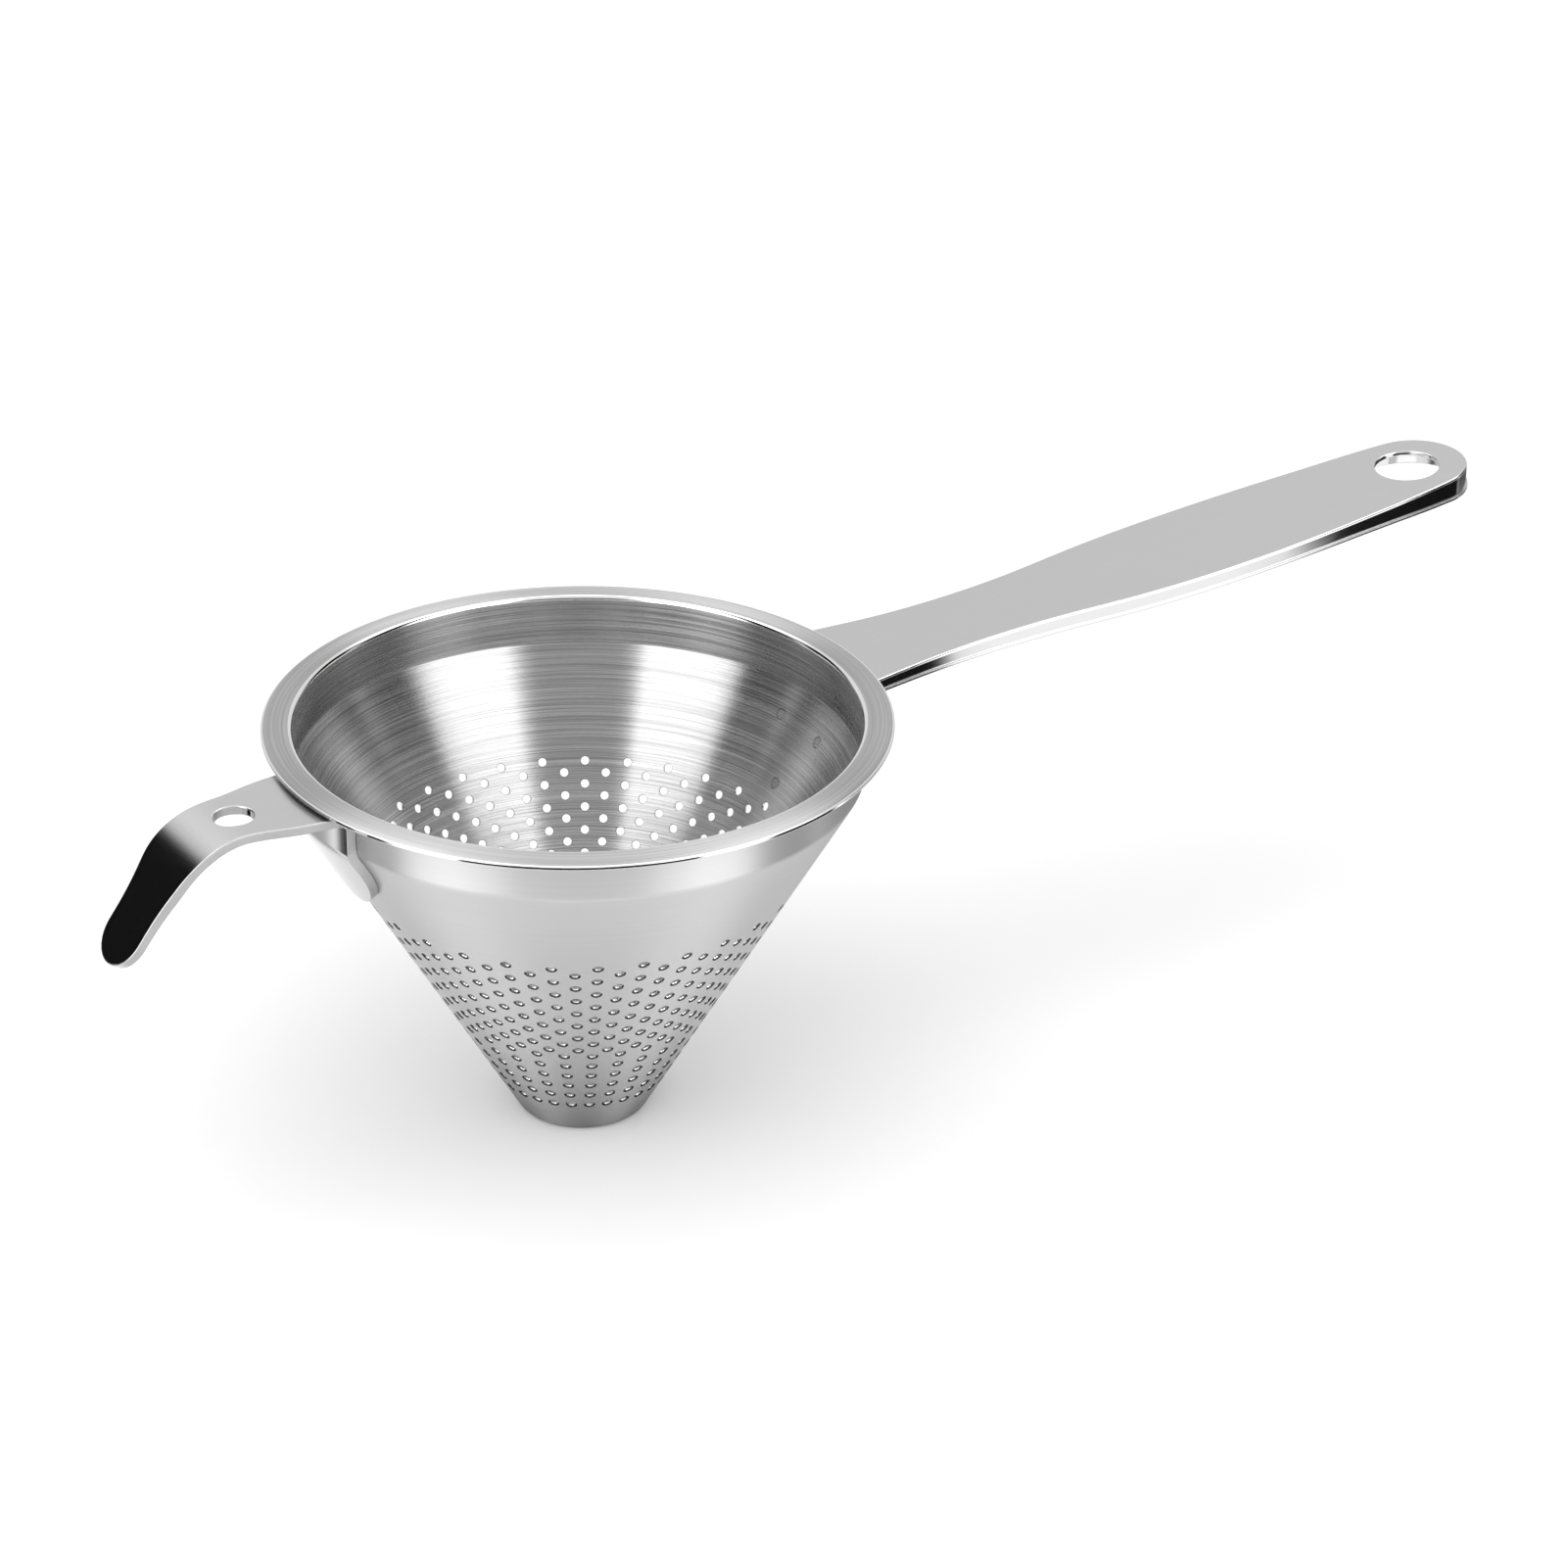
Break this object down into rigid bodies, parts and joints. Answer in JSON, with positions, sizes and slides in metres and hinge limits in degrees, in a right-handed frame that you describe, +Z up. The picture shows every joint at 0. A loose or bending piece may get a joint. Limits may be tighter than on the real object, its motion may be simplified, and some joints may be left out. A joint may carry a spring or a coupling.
{
  "type": "chinois strainer",
  "caption": "Small stainless chinois strainer: perforated sheet cone with a flat rim, sheet handle with a hanging hole, and a rest hook.",
  "frame": {"origin": "centre of the flat tip's underside, on the cone's axis", "axes": "+X along the handle away from the bowl, +Z up the cone's axis out of its mouth"},
  "size_m": [0.3638, 0.14, 0.1076],
  "materials": {
    "brushed_bowl": "stainless sheet, brushed round the axis",
    "polished_sheet": "stainless sheet, bright satin",
    "weld_steel": "fused stainless of the spot welds"
  },
  "bodies": {
    "root": {"bowl": "brushed_bowl", "handle": "polished_sheet", "rest_hook": "polished_sheet", "handle_welds": "weld_steel", "hook_welds": "weld_steel"}
  },
  "joints": []
}
